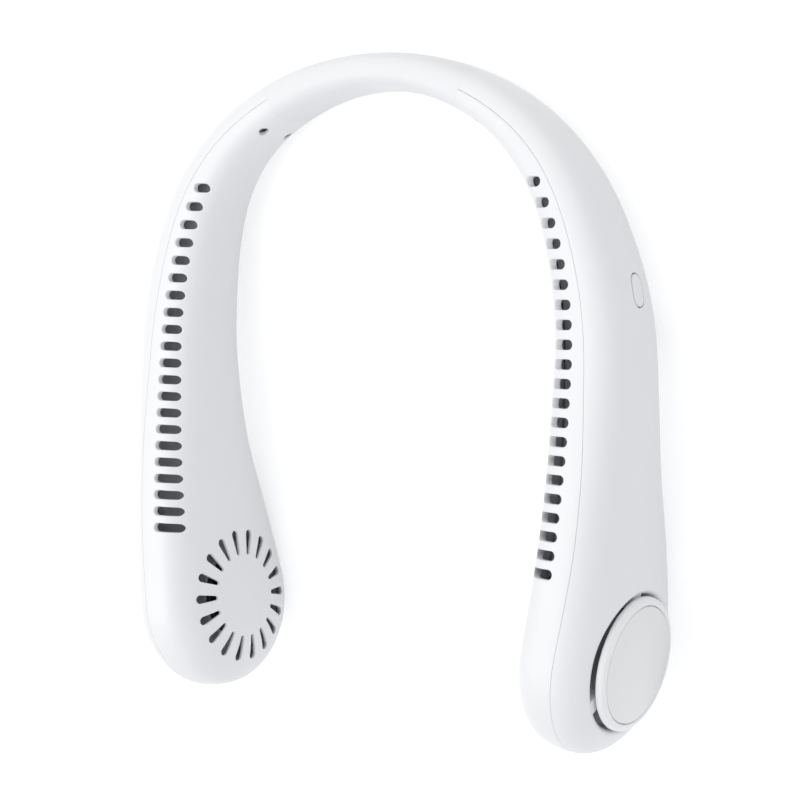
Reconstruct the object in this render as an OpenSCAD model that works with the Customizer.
/* [Neck line] */
// Radius of the neck line over the crown of the bow
crown_r = 88; // [75:1:105]
// Angle that the crown arc turns on each side
crown_sweep = 29; // [26:1:32]
// Radius of the neck line round each shoulder
shoulder_r = 66; // [58:1:78]
// Angle that the shoulder arc turns
shoulder_sweep = 40; // [37:1:42]
// Radius of the neck line along the upper arm
arm_r = 120; // [100:1:150]
// Radius of the slow inward curve of the lower arm
leg_r = 620; // [450:10:900]
// Length from the widest level down to the fan axis
leg_len = 83.5; // [75:0.5:100]

/* [Body section] */
// Thickness of the bow across the neck line
bow_t = 11.2; // [10:0.1:13]
// Depth of the bow from front to rear
bow_depth = 21; // [18:0.5:25]
// Thickness of the arms
arm_t = 25.6; // [23:0.1:30]
// Thickness of the fan heads
fan_t = 29.2; // [27:0.1:34]
// Diameter of the round fan heads
fan_d = 60; // [54:1:70]
// Rise of the front face from the bow to the fan heads
front_rise = 1.6; // [0:0.1:4]
// Squareness of the rounded section, 2 is an ellipse
section_power = 2.7; // [2.2:0.1:3.4]
// Wall thickness of the moulded shells
shell_wall = 1.8; // [1.4:0.1:2.4]
// Width of the parting line between shells
part_gap = 0.3; // [0.2:0.05:0.5]

/* [Outlet slots] */
// Number of air outlets on each arm
slot_count = 21; // [12:1:24]
// Pitch of the outlets nearest the fan
slot_pitch_low = 5.35; // [4.6:0.05:5.6]
// Pitch of the outlets nearest the bow
slot_pitch_top = 5.95; // [4.6:0.05:6.2]
// Height of an outlet
slot_h = 2.9; // [2:0.1:3.4]
// Length of the outlet nearest the bow
slot_len_top = 5.6; // [4.5:0.1:9]
// Length of the outlet nearest the fan
slot_len_low = 9.1; // [8:0.1:13]
// Distance of the outlet nearest the fan from the fan axis
slot_from_fan = 24.8; // [22:0.1:34]

/* [Inner grille] */
// Number of radial intake slots
grille_count = 18; // [12:1:22]
// Radius where the intake slots begin
grille_in_r = 13.6; // [12:0.1:15]
// Radius where the intake slots end
grille_out_r = 22; // [19:0.1:24]
// Width of an intake slot at its outer end
grille_out_w = 2.8; // [2:0.1:3.4]
// Width of an intake slot at its inner end
grille_in_w = 1.4; // [1:0.1:2]

/* [Intake cap] */
// Radius of the cap over its rim
cap_r = 19.6; // [18:0.1:20.6]
// Radius of the round inlay in the face of the cap
inlay_r = 17.5; // [14:0.1:17.8]
// Height of the cap from its face to its underside
cap_h = 2.8; // [2.6:0.1:4]
// Radius of the round well that the cap stands in
well_r = 22; // [21:0.1:24]
// Radius of the air inlet in the floor of the well
inlet_r = 15.5; // [13:0.1:17]
// Number of webs that carry the cap
web_count = 4; // [3:1:6]
// Width of a web
web_w = 4.6; // [3:0.1:6]

/* [Blower] */
// Outer radius of the impeller
wheel_r = 24; // [21:0.1:25]
// Height of the impeller blades
blade_h = 13; // [10:0.1:15]
// Number of impeller blades
blade_count = 28; // [16:1:36]
// Radial length of a blade
blade_len = 6.5; // [5:0.1:8]
// Thickness of a blade
blade_t = 0.8; // [0.6:0.1:1.2]
// Diameter of the motor shaft
shaft_d = 2; // [1.5:0.1:3]
// Radial running clearance of the shaft in its bush
shaft_clear = 0.04; // [0.02:0.01:0.08]
// Diameter of the stator over its poles
stator_d = 17; // [15:0.1:19]
// Number of stator poles
pole_count = 6; // [4:1:9]

/* [Power button] */
// Length of the button along the arm
button_len = 10.4; // [9:0.1:12]
// Width of the button
button_w = 6; // [5:0.1:7]
// Travel of the button
button_travel = 0.5; // [0.3:0.1:0.8]
// Clearance round the button
button_clear = 0.3; // [0.2:0.05:0.4]
// Distance of the button from the fan axis along the arm
button_from_fan = 104.5; // [96:0.5:110]

/* [Charging socket] */
// Width of the socket shell
socket_w = 8.9; // [8.9:0.1:9.2]
// Height of the socket shell
socket_h = 3.2; // [3.1:0.1:3.3]
// Depth of the socket shell
socket_depth = 7.4; // [6.5:0.1:9]

/* [Hidden] */

// Overrun of every cut past the face it opens
over = 1;
// Gap between pieces that seat on each other
seat_gap = 0.15;
// Gap round pieces that move
run_gap = 0.4;

// Stations along the neck line from the crown to the fan axis, as shares of that length
station_share = [0, 0.21, 0.31, 0.42, 0.53, 0.64, 0.75, 0.85, 0.93, 1];
// Swelling from the bow to the arm at each station
arm_share = [0, 0.22, 0.42, 0.67, 0.89, 1, 1, 1, 1, 1];
// Swelling from the arm to the fan head at each station
head_share = [0, 0, 0, 0, 0, 0, 0.05, 0.3, 0.7, 1];
// Growth of the depth from the bow to the fan head at each station
depth_share = [0, 0.02, 0.06, 0.16, 0.25, 0.34, 0.515, 0.75, 0.91, 1];
// Rise of the front face at each station
front_share = [0, 0.1, 0.1, 0, -0.45, -0.35, 0.1, 0.6, 0.9, 1];
// Offset of the parting line from the neck line at each station, of half the arm thickness
parting_share = [0, -0.02, 0.04, 0.08, 0.12, 0.2, 0.32, 0.36, 0.32, 0.28];

// Number of points round a section and of sections along an arm, its end and the bow
ring_n = 20;
arm_n = 18;
end_n = 6;
bow_n = 8;
parting_sections = 17;
end_turn = 86;

// The neck line is a chain of tangent arcs: radius, turn at its start, start length, centre
arc_r = [crown_r, shoulder_r, arm_r, leg_r];
arc_turn = [0, crown_sweep, crown_sweep + shoulder_sweep, 90];
arc_s = [0, arc_len(0), arc_len(0) + arc_len(1), arc_len(0) + arc_len(1) + arc_len(2)];
function arc_len(k) = arc_r[k] * (arc_turn[k + 1] - arc_turn[k]) * PI / 180;
function out(h) = [sin(h), cos(h)];
function arc_centre(k) = k == 0
    ? -arc_r[0] * out(0)
    : arc_centre(k - 1) + (arc_r[k - 1] - arc_r[k]) * out(arc_turn[k]);
function arc_at(s) = s < arc_s[1] ? 0 : s < arc_s[2] ? 1 : s < arc_s[3] ? 2 : 3;
function turn(s) = let (k = arc_at(s)) arc_turn[k] + (s - arc_s[k]) / arc_r[k] * 180 / PI;
function line_point(s) = let (k = arc_at(s)) arc_centre(k) + arc_r[k] * out(turn(s));
s_fan = arc_s[3] + leg_len;

// Smooth curve through the shares, flat at both ends
function span_at(u, i = 0) = i >= len(station_share) - 2 || u < station_share[i + 1]
    ? i : span_at(u, i + 1);
function slope(t, i) = i == 0 || i == len(t) - 1 ? 0
    : (t[i + 1] - t[i - 1]) / (station_share[i + 1] - station_share[i - 1]);
function blend(t, u) =
    let (i = span_at(u), w = station_share[i + 1] - station_share[i])
    let (x = (u - station_share[i]) / w)
    (2 * x^3 - 3 * x^2 + 1) * t[i] + (x^3 - 2 * x^2 + x) * w * slope(t, i)
    + (3 * x^2 - 2 * x^3) * t[i + 1] + (x^3 - x^2) * w * slope(t, i + 1);
function share_at(s) = min(1, abs(s) / s_fan);

// Half thickness, front and rear of the section at a length along the neck line
function half_t(s) = bow_t / 2 + (arm_t - bow_t) / 2 * blend(arm_share, share_at(s))
    + (fan_t - arm_t) / 2 * blend(head_share, share_at(s));
function front_z(s) = front_rise * blend(front_share, share_at(s));
function depth(s) = bow_depth + (fan_d - bow_depth) * blend(depth_share, share_at(s));
function mid_z(s) = front_z(s) - depth(s) / 2;
function parting_n(s) = arm_t / 2 * blend(parting_share, share_at(s));

// A place given by length along the line, offset outward and height
function place(s, n, z) = let (p = line_point(abs(s)) + n * out(turn(abs(s))))
    [s < 0 ? -p[0] : p[0], p[1], z];
function spow(v, p) = sign(v) * pow(abs(v), p);
// Outward offset on the round head, at a share of its radius
function dome(rho) = pow(max(0, 1 - pow(rho, section_power)), 1 / section_power);
function skin_n(s, z, inset = 0) =
    (half_t(s) - inset) * dome(abs(z - mid_z(s)) / (depth(s) / 2 - inset));
function ring(s, inset = 0, count = ring_n) =
    let (t = max(0, s - s_fan), r = depth(s) / 2 - inset, a = half_t(s) - inset)
    let (b = sqrt(max(0, r * r - t * t)))
    [for (k = [0:count - 1])
        let (w = 360 * (k + 0.5) / count, z = b * spow(sin(w), 2 / section_power))
        let (rho = sqrt(t * t + z * z) / r)
        place(s, a * dome(rho) * sign(cos(w)), mid_z(s) + z)];

// Solid skinned over rings of equal length
module loft(rings) {
    m = len(rings[0]);
    e = len(rings) - 1;
    polyhedron(
        points = [for (r = rings) for (p = r) p],
        faces = concat(
            [[for (k = [0:m - 1]) k]],
            [[for (k = [m - 1:-1:0]) e * m + k]],
            [for (i = [0:e - 1]) for (k = [0:m - 1]) let (j = (k + 1) % m)
                each [[i * m + k, (i + 1) * m + k, i * m + j],
                    [i * m + j, (i + 1) * m + k, (i + 1) * m + j]]]));
}

// The arms reach this far over the crown arc
joint_back = 7;
s_joint = arc_s[1] - joint_back;
function arm_stations(from, inset = 0) = concat(
    [for (i = [0:arm_n]) from + (s_fan - from) * i / arm_n],
    [for (j = [1:end_n]) s_fan + (fan_d / 2 - inset) * sin(end_turn * j / end_n)]);
module arm_body(from, inset = 0) {
    loft([for (s = arm_stations(from, inset)) ring(s, inset)]);
}

// Places on the arms
clamp_in = 8;
clamp_len = 18;
s_clamp = s_joint + clamp_len / 2;
s_button = s_fan - button_from_fan;
fan_turn = turn(s_fan);

// Length at which the neck line crosses a level below its crown
function s_at(level) = let (k = level > line_point(arc_s[2])[1] ? 1
        : level > line_point(arc_s[3])[1] ? 2 : 3)
    let (a = acos((level - arc_centre(k)[1]) / arc_r[k]))
    arc_s[k] + arc_r[k] * (a - arc_turn[k]) * PI / 180;
// Level of an outlet, counted from the fan: the pitch grows with the square of the count
function slot_level(i) = line_point(s_fan)[1] + slot_from_fan + slot_pitch_low * i
    + (slot_pitch_top - slot_pitch_low) * i * (i - 1) * (2 * i - 1) / 6 / pow(slot_count - 2, 2);
function slot_s(i) = s_at(slot_level(i));

// Everything right of the middle is drawn once and mirrored for the left
module left_side() {
    mirror([1, 0, 0]) children();
}
// Local frame on the neck line: x to the front, y towards the fan head, z outward
module at_line(s, z = 0) {
    translate(place(s, 0, z)) rotate([0, -90, -90 - turn(s)]) children();
}
module at_fan() {
    at_line(s_fan, mid_z(s_fan)) children();
}

// Lying on its back, the part touches a table with the bow and both fan heads
skin_rings = [for (s = concat([0], arm_stations(s_joint))) ring(s)];
span_y = -line_point(s_fan)[1];
rest_rise = mid_z(0) - mid_z(s_fan);
rest_slope = (fan_d - bow_depth) / span_y;
lift_power = section_power / (section_power - 1);
crown_drop = bow_depth / 2 * pow(1 + pow(bow_t / bow_depth * rest_slope, lift_power), 1 / lift_power);
rest_tilt = asin((fan_d / 2 - crown_drop) / norm([span_y, rest_rise])) + atan(rest_rise / span_y);
function tipped(p) = [p[0],
    p[1] * cos(rest_tilt) + p[2] * sin(rest_tilt),
    -p[1] * sin(rest_tilt) + p[2] * cos(rest_tilt)];
tipped_y = [for (r = skin_rings) for (p = r) tipped(p)[1]];
tipped_z = [for (r = skin_rings) for (p = r) tipped(p)[2]];
module rest() {
    translate([0, -(min(tipped_y) + max(tipped_y)) / 2, -min(tipped_z)])
        rotate([-rest_tilt, 0, 0]) children();
}

// Slab along the arm between two offsets from the parting line
module parting_side(outer) {
    near = (outer ? 1 : -1) * part_gap / 2;
    far = (outer ? 1 : -1) * arm_t;
    from = s_joint - 2 * over;
    to = s_fan + fan_d;
    top = front_rise + over;
    low = -fan_d - over;
    loft([for (i = [0:parting_sections])
        let (s = from + (to - from) * i / parting_sections, a = parting_n(s) + near)
        outer
            ? [place(s, far, low), place(s, far, top), place(s, a, top), place(s, a, low)]
            : [place(s, a, low), place(s, a, top), place(s, far, top), place(s, far, low)]]);
}
module shell_skin(outer) {
    difference() {
        intersection() {
            arm_body(s_joint + part_gap);
            parting_side(outer);
        }
        arm_body(s_joint - over, shell_wall);
    }
}

// Outline with round ends, long along y
module stadium(long, wide) {
    for (side = [-1, 1]) {
        translate([0, side * (long - wide) / 2]) circle(d = wide, $fn = 40);
    }
    square([wide, long - wide], center = true);
}
// Prism of that outline, running along x
module stadium_bar(long, wide, deep) {
    rotate([0, 90, 0]) linear_extrude(deep, center = true) stadium(long, wide);
}

// Outlets are cut straight from the front and all lie square to the middle of the U
slot_offset_share = 0.42;
module outlet_slots() {
    for (i = [0:slot_count - 1]) {
        s = slot_s(i);
        x = line_point(s)[0] - slot_offset_share * half_t(s) / sin(turn(s));
        long = slot_len_low + (slot_len_top - slot_len_low) * i / (slot_count - 1);
        translate([x, slot_level(i), front_z(s)]) linear_extrude(depth(s) / 2, center = true)
            rotate(90) stadium(long, slot_h);
    }
}

// Radial slots through the inner face, wider at their outer ends
tip_n = 5;
function tip(x, w, from) = [for (k = [0:tip_n])
    let (a = from + 180 * k / tip_n) [x + w / 2 * cos(a), w / 2 * sin(a)]];
module grille_slots() {
    in_x = grille_in_r + grille_in_w / 2;
    out_x = grille_out_r - grille_out_w / 2;
    deep = fan_t / 2 - skin_n(s_fan, mid_z(s_fan) + grille_out_r, shell_wall) + 2 * over;
    for (i = [0:grille_count - 1]) {
        at_fan() rotate(360 * i / grille_count) translate([0, 0, -fan_t / 2 - over])
            linear_extrude(deep)
                polygon(concat(tip(out_x, grille_out_w, -90), tip(in_x, grille_in_w, 90)));
    }
}

// Screws through the inner face into the bow clamp
screw_d = 2;
screw_head_d = 3.4;
screw_head_h = 1;
screw_len = 6;
screw_spacing = 13;
module at_clamp_screws() {
    for (side = [-1, 1]) {
        z = mid_z(s_clamp) + side * screw_spacing / 2;
        at_line(s_clamp, z) translate([0, 0, -skin_n(s_clamp, z)]) children();
    }
}

module inner_shell() {
    color("whitesmoke") difference() {
        union() {
            shell_skin(false);
            motor_bosses();
        }
        at_motor_screws() translate([0, 0, -motor_screw_grip - seat_gap])
            cylinder(d = motor_screw_d + 2 * seat_gap, h = fan_t, $fn = 24);
        outlet_slots();
        grille_slots();
        at_clamp_screws() {
            translate([0, 0, -over])
                cylinder(d = screw_head_d + seat_gap, h = over + screw_head_h, $fn = 16);
            cylinder(d = screw_d + 2 * seat_gap, h = screw_len + over, $fn = 12);
        }
    }
}

// Well in the outer face of the fan head, with the air inlet in its floor
cap_proud = 0.3;
well_floor = 1.5;
well_air = 4.7;
cap_face_n = fan_t / 2 + cap_proud;
well_top_n = cap_face_n - cap_h - well_air;
module well_boss() {
    intersection() {
        at_fan() translate([0, 0, well_top_n - well_floor])
            cylinder(r = well_r + shell_wall, h = fan_t, $fn = 40);
        arm_body(s_fan - fan_d / 2, shell_wall / 2);
    }
}
module well_cut() {
    at_fan() {
        translate([0, 0, well_top_n]) cylinder(r = well_r, h = fan_t, $fn = 40);
        cylinder(r = inlet_r, h = fan_t, $fn = 32);
    }
}

module outer_shell_bare() {
    difference() {
        union() {
            shell_skin(true);
            well_boss();
        }
        well_cut();
    }
}
module left_outer_shell() {
    color("white") left_side() outer_shell_bare();
}
module right_outer_shell() {
    color("white") difference() {
        outer_shell_bare();
        at_line(s_button, mid_z(s_button)) linear_extrude(arm_t)
            stadium(button_len + 2 * button_clear, button_w + 2 * button_clear);
        at_socket() stadium_bar(socket_w + 4 * seat_gap, socket_h + 4 * seat_gap, socket_depth);
    }
}

// Intake cap: a shallow dish on webs, with an inlay pressed into its face
cap_rim_h = 0.9;
cap_slope = 1.6;
cap_round_n = 4;
inlay_t = 0.8;
cap_rim_w = 4.5;
cap_pocket_r = cap_r - cap_rim_w;
web_turn = 25;
web_rise = 0.2;
function cap_round(k) = let (a = 90 * k / cap_round_n)
    [cap_r - cap_slope * (1 - cos(a)), cap_rim_h + (cap_h - cap_rim_h) * sin(a)];
module intake_cap() {
    color("whitesmoke") at_fan() translate([0, 0, cap_face_n - cap_h]) {
        rotate_extrude($fn = 96) polygon(concat(
            [[0, cap_h - inlay_t - seat_gap - cap_rim_h],
                [cap_pocket_r - cap_rim_h, cap_h - inlay_t - seat_gap - cap_rim_h],
                [cap_pocket_r, 0],
                [cap_r - seat_gap, 0],
                [cap_r, seat_gap]],
            [for (k = [0:cap_round_n]) cap_round(k)],
            [[inlay_r + seat_gap / 2, cap_h],
                [inlay_r + seat_gap / 2, cap_h - inlay_t - seat_gap],
                [0, cap_h - inlay_t - seat_gap]]));
        for (i = [0:web_count - 1]) {
            rotate(web_turn + 360 * i / web_count)
                translate([cap_pocket_r + over, -web_w / 2, seat_gap - well_air])
                    cube([well_r - 2 * seat_gap - cap_pocket_r - over, web_w,
                        well_air - seat_gap + web_rise]);
        }
    }
}
module cap_inlay() {
    color("gainsboro") at_fan() translate([0, 0, cap_face_n - inlay_t])
        cylinder(r = inlay_r, h = inlay_t, $fn = 96);
}

// Blower: places along the fan axis, outward from the middle of the fan head
hub_t = 1.1;
hub_drop = 1;
stator_gap = 1.1;
wheel_gap = 0.8;
yoke_t = 0.8;
magnet_t = 2.5;
magnet_h = 6;
magnet_r = stator_d / 2 + stator_gap + magnet_t;
yoke_r = magnet_r + seat_gap / 3 + yoke_t;
hub_r = yoke_r + seat_gap / 3 + hub_t;
wheel_low_n = wheel_gap - skin_n(s_fan, mid_z(s_fan) + wheel_r, shell_wall);
wheel_top_n = wheel_low_n + blade_h;
hub_top_n = wheel_top_n - hub_drop;
yoke_top_n = hub_top_n - hub_t - seat_gap / 3;
ring_h = 1;
ring_w = 1.6;
mid_disc_n = wheel_low_n + blade_h / 2 - ring_h / 2;
blade_lean = 38;
blade_curve = 4.9;
module blade_plan() {
    mid_r = wheel_r - blade_len / 2;
    for (i = [0:blade_count - 1]) {
        rotate(360 * i / blade_count) intersection() {
            translate([mid_r, 0]) rotate(blade_lean) translate([0, -blade_curve]) difference() {
                circle(r = blade_curve + blade_t / 2, $fn = 48);
                circle(r = blade_curve - blade_t / 2, $fn = 48);
            }
            translate([wheel_r - blade_len, 0]) square([blade_len - ring_w / 4, blade_len]);
        }
    }
}
module impeller() {
    color("dimgray") at_fan() {
        translate([0, 0, wheel_low_n]) linear_extrude(blade_h) blade_plan();
        for (n = [wheel_low_n, wheel_top_n - ring_h]) {
            translate([0, 0, n]) ring_band(wheel_r, wheel_r - ring_w, ring_h);
        }
        translate([0, 0, mid_disc_n]) ring_band(wheel_r - ring_w / 8, hub_r - hub_t / 2, ring_h);
        translate([0, 0, wheel_low_n]) ring_band(hub_r, hub_r - hub_t, hub_top_n - wheel_low_n);
        translate([0, 0, hub_top_n - hub_t])
            ring_band(hub_r, shaft_d / 2 + seat_gap / 3, hub_t);
    }
}
module ring_band(r_out, r_in, h) {
    difference() {
        cylinder(r = r_out, h = h, $fn = 96);
        translate([0, 0, -over]) cylinder(r = r_in, h = h + 2 * over, $fn = 96);
    }
}
module rotor_yoke() {
    color("silver") at_fan() {
        translate([0, 0, wheel_low_n + ring_h / 2])
            ring_band(yoke_r, yoke_r - yoke_t, yoke_top_n - wheel_low_n - ring_h / 2);
        translate([0, 0, yoke_top_n - yoke_t])
            ring_band(yoke_r, shaft_d / 2 + seat_gap / 3, yoke_t);
    }
}
module rotor_magnet() {
    color("black") at_fan() translate([0, 0, wheel_low_n + ring_h])
        ring_band(magnet_r, magnet_r - magnet_t, magnet_h);
}

board_t = 1;
board_stand = 1.6;
board_n = -fan_t / 2 + shell_wall + board_stand;
bush_r = 3;
bush_flange_r = 5;
bush_low_n = board_n + board_t;
bush_drop = 1;
bush_top_n = yoke_top_n - yoke_t - run_gap - bush_drop;
module motor_shaft() {
    color("lightgray") at_fan() translate([0, 0, bush_low_n + run_gap])
        cylinder(d = shaft_d, h = hub_top_n - bush_low_n - run_gap, $fn = 32);
}
module shaft_bush() {
    color("goldenrod") at_fan() translate([0, 0, bush_low_n]) difference() {
        union() {
            cylinder(r = bush_flange_r, h = board_t, $fn = 48);
            cylinder(r = bush_r, h = bush_top_n - bush_low_n, $fn = 48);
        }
        translate([0, 0, -over])
            cylinder(d = shaft_d + 2 * shaft_clear, h = fan_t, $fn = 32);
    }
}

// Stator: a hub, one arm and shoe for each pole, and a coil round each arm
core_h = 4;
core_low_n = wheel_low_n + ring_h + (magnet_h - core_h) / 2;
core_hub_t = 1.6;
pole_w = 1.8;
shoe_t = 1;
shoe_share = 0.72;
coil_wrap = 0.9;
module stator_core() {
    color("slategray") at_fan() translate([0, 0, core_low_n]) linear_extrude(core_h) {
        difference() {
            union() {
                circle(r = bush_r + core_hub_t, $fn = 48);
                for (i = [0:pole_count - 1]) {
                    rotate(360 * i / pole_count) {
                        translate([bush_r + core_hub_t / 2, -pole_w / 2])
                            square([stator_d / 2 - bush_r - core_hub_t / 2 - shoe_t / 2, pole_w]);
                        shoe_plan();
                    }
                }
            }
            circle(r = bush_r + seat_gap / 3, $fn = 48);
        }
    }
}
module shoe_plan() {
    half = shoe_share * 180 / pole_count;
    intersection() {
        difference() {
            circle(d = stator_d, $fn = 64);
            circle(r = stator_d / 2 - shoe_t, $fn = 64);
        }
        polygon([[0, 0], stator_d * [cos(half), -sin(half)], stator_d * [cos(half), sin(half)]]);
    }
}
module stator_coils() {
    coil_w = pole_w + 2 * coil_wrap;
    coil_in = bush_r + core_hub_t + seat_gap;
    coil_out = sqrt(pow(stator_d / 2 - shoe_t, 2) - pow(coil_w / 2, 2)) - seat_gap;
    color("peru") at_fan() for (i = [0:pole_count - 1]) {
        rotate(360 * i / pole_count) translate([coil_in, 0, core_low_n - coil_wrap]) difference() {
            translate([0, -coil_w / 2, 0])
                cube([coil_out - coil_in, coil_w, core_h + 2 * coil_wrap]);
            translate([-over, -pole_w / 2 - seat_gap / 3, coil_wrap - seat_gap / 3])
                cube([stator_d, pole_w + seat_gap * 2 / 3, core_h + seat_gap * 2 / 3]);
        }
    }
}

motor_board_r = 9.4;
motor_screw_r = 7.4;
motor_screw_d = 1.4;
motor_screw_head_d = 2.6;
motor_screw_head_h = 0.8;
motor_screw_count = 3;
motor_screw_turn = 30;
motor_screw_grip = 1.2;
motor_boss_r = 1.7;
module at_motor_screws() {
    for (i = [0:motor_screw_count - 1]) {
        at_fan() rotate(motor_screw_turn + 360 * i / motor_screw_count)
            translate([motor_screw_r, 0, board_n]) children();
    }
}
module motor_bosses() {
    at_motor_screws() translate([0, 0, -board_stand - shell_wall / 2])
        cylinder(r = motor_boss_r, h = board_stand + shell_wall / 2 - seat_gap / 3, $fn = 24);
}
module motor_board() {
    color("seagreen") difference() {
        at_fan() translate([0, 0, board_n]) cylinder(r = motor_board_r, h = board_t, $fn = 64);
        at_motor_screws() translate([0, 0, -over])
            cylinder(d = motor_screw_d + 2 * seat_gap, h = board_t + 2 * over, $fn = 24);
    }
}
module motor_screws() {
    color("silver") at_motor_screws() {
        translate([0, 0, board_t + seat_gap / 3])
            cylinder(d = motor_screw_head_d, h = motor_screw_head_h, $fn = 24);
        translate([0, 0, -motor_screw_grip])
            cylinder(d = motor_screw_d, h = motor_screw_grip + board_t + seat_gap, $fn = 24);
    }
}

// Air guide: a curved wall that tapers the duct behind the outlets
guide_t = 1.2;
guide_near = 6;
guide_far = 15;
guide_from = slot_s(slot_count - 1) - slot_pitch_top;
guide_to = s_fan - fan_d / 2 + 2 * shell_wall;
guide_n = 12;
function guide_z(s) = let (x = (s - guide_from) / (guide_to - guide_from))
    front_z(s) - guide_near - (guide_far - guide_near) * (1 - cos(180 * x)) / 2;
module air_guide() {
    color("gainsboro") loft([for (i = [0:guide_n])
        let (s = guide_from + (guide_to - guide_from) * i / guide_n)
        let (top = guide_z(s), low = top - guide_t)
        let (n = skin_n(s, top, shell_wall) - run_gap)
        [place(s, n, low), place(s, n, top), place(s, -n, top), place(s, -n, low)]]);
}

// Battery cell behind the air guide
cell_len = 40;
cell_w = 12;
cell_t = 9;
cell_round = 2;
cell_from_button = 42;
s_cell = s_button + cell_from_button;
cell_n = -1;
cell_z = guide_z(s_cell + cell_len / 2) - guide_t - run_gap - cell_w / 2;
module battery_cell() {
    color("royalblue") at_line(s_cell, cell_z) translate([0, 0, cell_n]) rotate([90, 0, 0])
        linear_extrude(cell_len, center = true) offset(r = cell_round, $fn = 24)
            square([cell_w - 2 * cell_round, cell_t - 2 * cell_round], center = true);
}

// Main board under the button, with the charging socket on its rear edge
main_board_n = 2;
main_board_len = 30;
main_board_w = 13;
main_board_front = 2.6;
main_board_back = 8;
socket_y = 12;
switch_l = 4;
switch_w = 3.4;
switch_h = 1.2;
stem_d = 1.6;
stem_rise = 0.6;
stem_root = 0.7;
flange_t = 0.6;
flange_out = 0.7;
button_proud = 0.1;
module at_board() {
    at_line(s_button, mid_z(s_button)) translate([0, 0, main_board_n]) children();
}
module main_board() {
    color("seagreen") at_board()
        translate([main_board_front - main_board_w, -main_board_back, 0])
            cube([main_board_w, main_board_len, board_t]);
}
// Mouth of the socket in the rear wall, x pointing to the front
socket_sunk = 0.4;
socket_mouth = depth(s_button + socket_y) / 2 - socket_sunk;
module at_socket() {
    at_board() translate([-socket_mouth, socket_y, board_t + seat_gap / 3 + socket_h / 2])
        children();
}
socket_wall = 0.35;
tongue_w = 6.6;
tongue_t = 0.7;
tongue_sunk = 0.8;
module charging_socket() {
    color("silver") at_socket() rotate([0, 90, 0]) difference() {
        linear_extrude(socket_depth) stadium(socket_w, socket_h);
        translate([0, 0, -over]) linear_extrude(socket_depth)
            stadium(socket_w - 2 * socket_wall, socket_h - 2 * socket_wall);
    }
    color("dimgray") at_socket() translate([tongue_sunk, -tongue_w / 2, -tongue_t / 2])
        cube([socket_depth - tongue_sunk - socket_wall, tongue_w, tongue_t]);
}
module switch_body() {
    color("darkslategray") at_board() translate([0, 0, board_t + seat_gap / 3]) difference() {
        translate([-switch_w / 2, -switch_l / 2, 0]) cube([switch_w, switch_l, switch_h]);
        translate([0, 0, switch_h - stem_root - button_travel])
            cylinder(d = stem_d + seat_gap, h = switch_h, $fn = 32);
    }
}
stem_top = board_t + switch_h + stem_rise;
module switch_stem() {
    color("tan") at_board() translate([0, 0, stem_top - stem_rise - stem_root + seat_gap])
        cylinder(d = stem_d, h = stem_rise + stem_root - seat_gap, $fn = 32);
}
// Height of a place on the arm, square to the neck line at the button
function button_height(s, n) =
    (line_point(s) + n * out(turn(s)) - line_point(s_button)) * out(turn(s_button));
flange_end = button_len / 2 + flange_out;
flange_side_z = mid_z(s_button) + button_w / 2 + flange_out;
flange_wall_n = skin_n(s_button - flange_end, flange_side_z, shell_wall);
flange_top_n = button_height(s_button - flange_end, flange_wall_n) - run_gap / 2;
module power_button() {
    color("white") {
        intersection() {
            at_line(s_button, mid_z(s_button)) translate([0, 0, flange_top_n - flange_t])
                linear_extrude(arm_t) stadium(button_len, button_w);
            loft([for (i = [-2:2]) ring(s_button + i * button_len / 3, -button_proud)]);
        }
        at_line(s_button, mid_z(s_button)) translate([0, 0, flange_top_n - flange_t])
            linear_extrude(flange_t)
                stadium(button_len + 2 * flange_out, button_w + 2 * flange_out);
        at_board() translate([0, 0, stem_top + seat_gap / 3])
            cylinder(d = stem_d, h = flange_top_n - main_board_n - stem_top - flange_t / 2, $fn = 32);
    }
}

// Bow: a soft sleeve over a spring strip and the cable, clamped into both arms
sleeve_wall = 2.2;
strip_t = 0.5;
strip_w = 8;
wire_d = 1.3;
wire_n = 1.4;
module bow_sleeve() {
    end = s_joint;
    color("ghostwhite") difference() {
        loft([for (i = [-bow_n:bow_n]) ring(end * i / bow_n)]);
        loft([for (i = [-bow_n:bow_n]) ring((end + over) * i / bow_n, sleeve_wall, 16)]);
    }
}
// Bar of rectangular section along the line
module bar(from, to, n, z_off, t, w, count) {
    loft([for (i = [0:count]) let (s = from + (to - from) * i / count, z = mid_z(s) + z_off)
        [place(s, n + t / 2, z - w / 2), place(s, n + t / 2, z + w / 2),
            place(s, n - t / 2, z + w / 2), place(s, n - t / 2, z - w / 2)]]);
}
s_strip = s_joint + clamp_len / 2;
module bow_spring() {
    color("silver") bar(-s_strip, s_strip, 0, 0, strip_t, strip_w, 2 * bow_n);
}
function wire_ring(s, z_off) = let (c = [wire_n, mid_z(s) + z_off])
    [for (k = [0:5]) place(s, c[0] + wire_d / 2 * cos(60 * k), c[1] + wire_d / 2 * sin(60 * k))];
wire_share = 0.7;
cable_right = s_button - main_board_back - 2 * seat_gap;
cable_left = s_cell - cell_len / 2 - 2 * seat_gap;
cable_n = 22;
module bow_cable() {
    color("firebrick") for (side = [-1, 1]) {
        loft([for (i = [0:cable_n])
            wire_ring(-cable_left + (cable_left + cable_right) * i / cable_n,
                side * wire_share * wire_d)]);
    }
}
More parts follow.
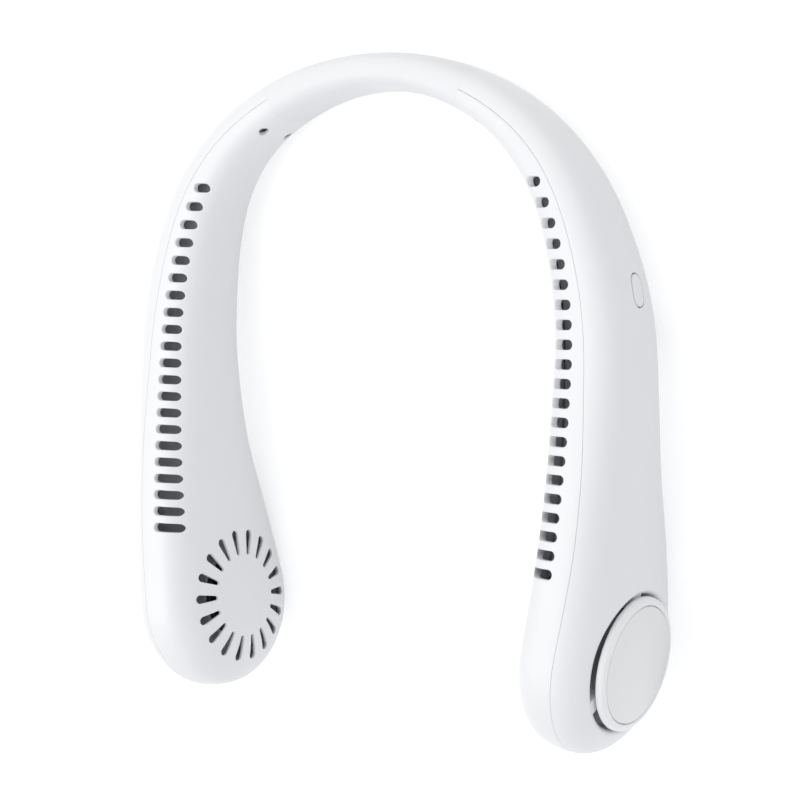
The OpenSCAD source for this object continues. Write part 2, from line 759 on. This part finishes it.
module bow_clamp() {
    color("lightgray") difference() {
        union() {
            loft([for (i = [0:2]) ring(s_joint - clamp_in + (clamp_in + over) * i / 2,
                sleeve_wall + seat_gap, 12)]);
            loft([for (i = [0:3]) ring(s_joint + part_gap + (clamp_len - part_gap) * i / 3,
                shell_wall + 2 * seat_gap, 12)]);
        }
        bar(s_joint - clamp_in - over, s_joint + clamp_len + over, wire_n / 2 + seat_gap, 0,
            wire_n + wire_d, strip_w + 2 * seat_gap, 8);
        at_clamp_screws() cylinder(d = screw_d + seat_gap, h = screw_len + over, $fn = 24);
    }
}
module bow_screws() {
    color("silver") at_clamp_screws() {
        translate([0, 0, seat_gap])
            cylinder(d = screw_head_d - seat_gap, h = screw_head_h - 2 * seat_gap, $fn = 24);
        translate([0, 0, seat_gap]) cylinder(d = screw_d, h = screw_len - seat_gap, $fn = 24);
    }
}

rest() bow_sleeve();
rest() bow_spring();
rest() bow_cable();
rest() left_side() bow_clamp();  // left_bow_clamp
rest() bow_clamp();  // right_bow_clamp
rest() left_side() bow_screws();  // left_bow_screws
rest() bow_screws();  // right_bow_screws
rest() left_outer_shell();
rest() right_outer_shell();
rest() left_side() inner_shell();  // left_inner_shell
rest() inner_shell();  // right_inner_shell
rest() left_side() intake_cap();  // left_intake_cap
rest() intake_cap();  // right_intake_cap
rest() left_side() cap_inlay();  // left_cap_inlay
rest() cap_inlay();  // right_cap_inlay
rest() left_side() impeller();  // left_impeller
rest() impeller();  // right_impeller
rest() left_side() rotor_yoke();  // left_rotor_yoke
rest() rotor_yoke();  // right_rotor_yoke
rest() left_side() rotor_magnet();  // left_rotor_magnet
rest() rotor_magnet();  // right_rotor_magnet
rest() left_side() motor_shaft();  // left_motor_shaft
rest() motor_shaft();  // right_motor_shaft
rest() left_side() shaft_bush();  // left_shaft_bush
rest() shaft_bush();  // right_shaft_bush
rest() left_side() stator_core();  // left_stator_core
rest() stator_core();  // right_stator_core
rest() left_side() stator_coils();  // left_stator_coils
rest() stator_coils();  // right_stator_coils
rest() left_side() motor_board();  // left_motor_board
rest() motor_board();  // right_motor_board
rest() left_side() motor_screws();  // left_motor_screws
rest() motor_screws();  // right_motor_screws
rest() left_side() air_guide();  // left_air_guide
rest() air_guide();  // right_air_guide
rest() left_side() battery_cell();  // left_battery_cell
rest() battery_cell();  // right_battery_cell
rest() main_board();
rest() charging_socket();
rest() switch_body();
rest() switch_stem();
rest() power_button();
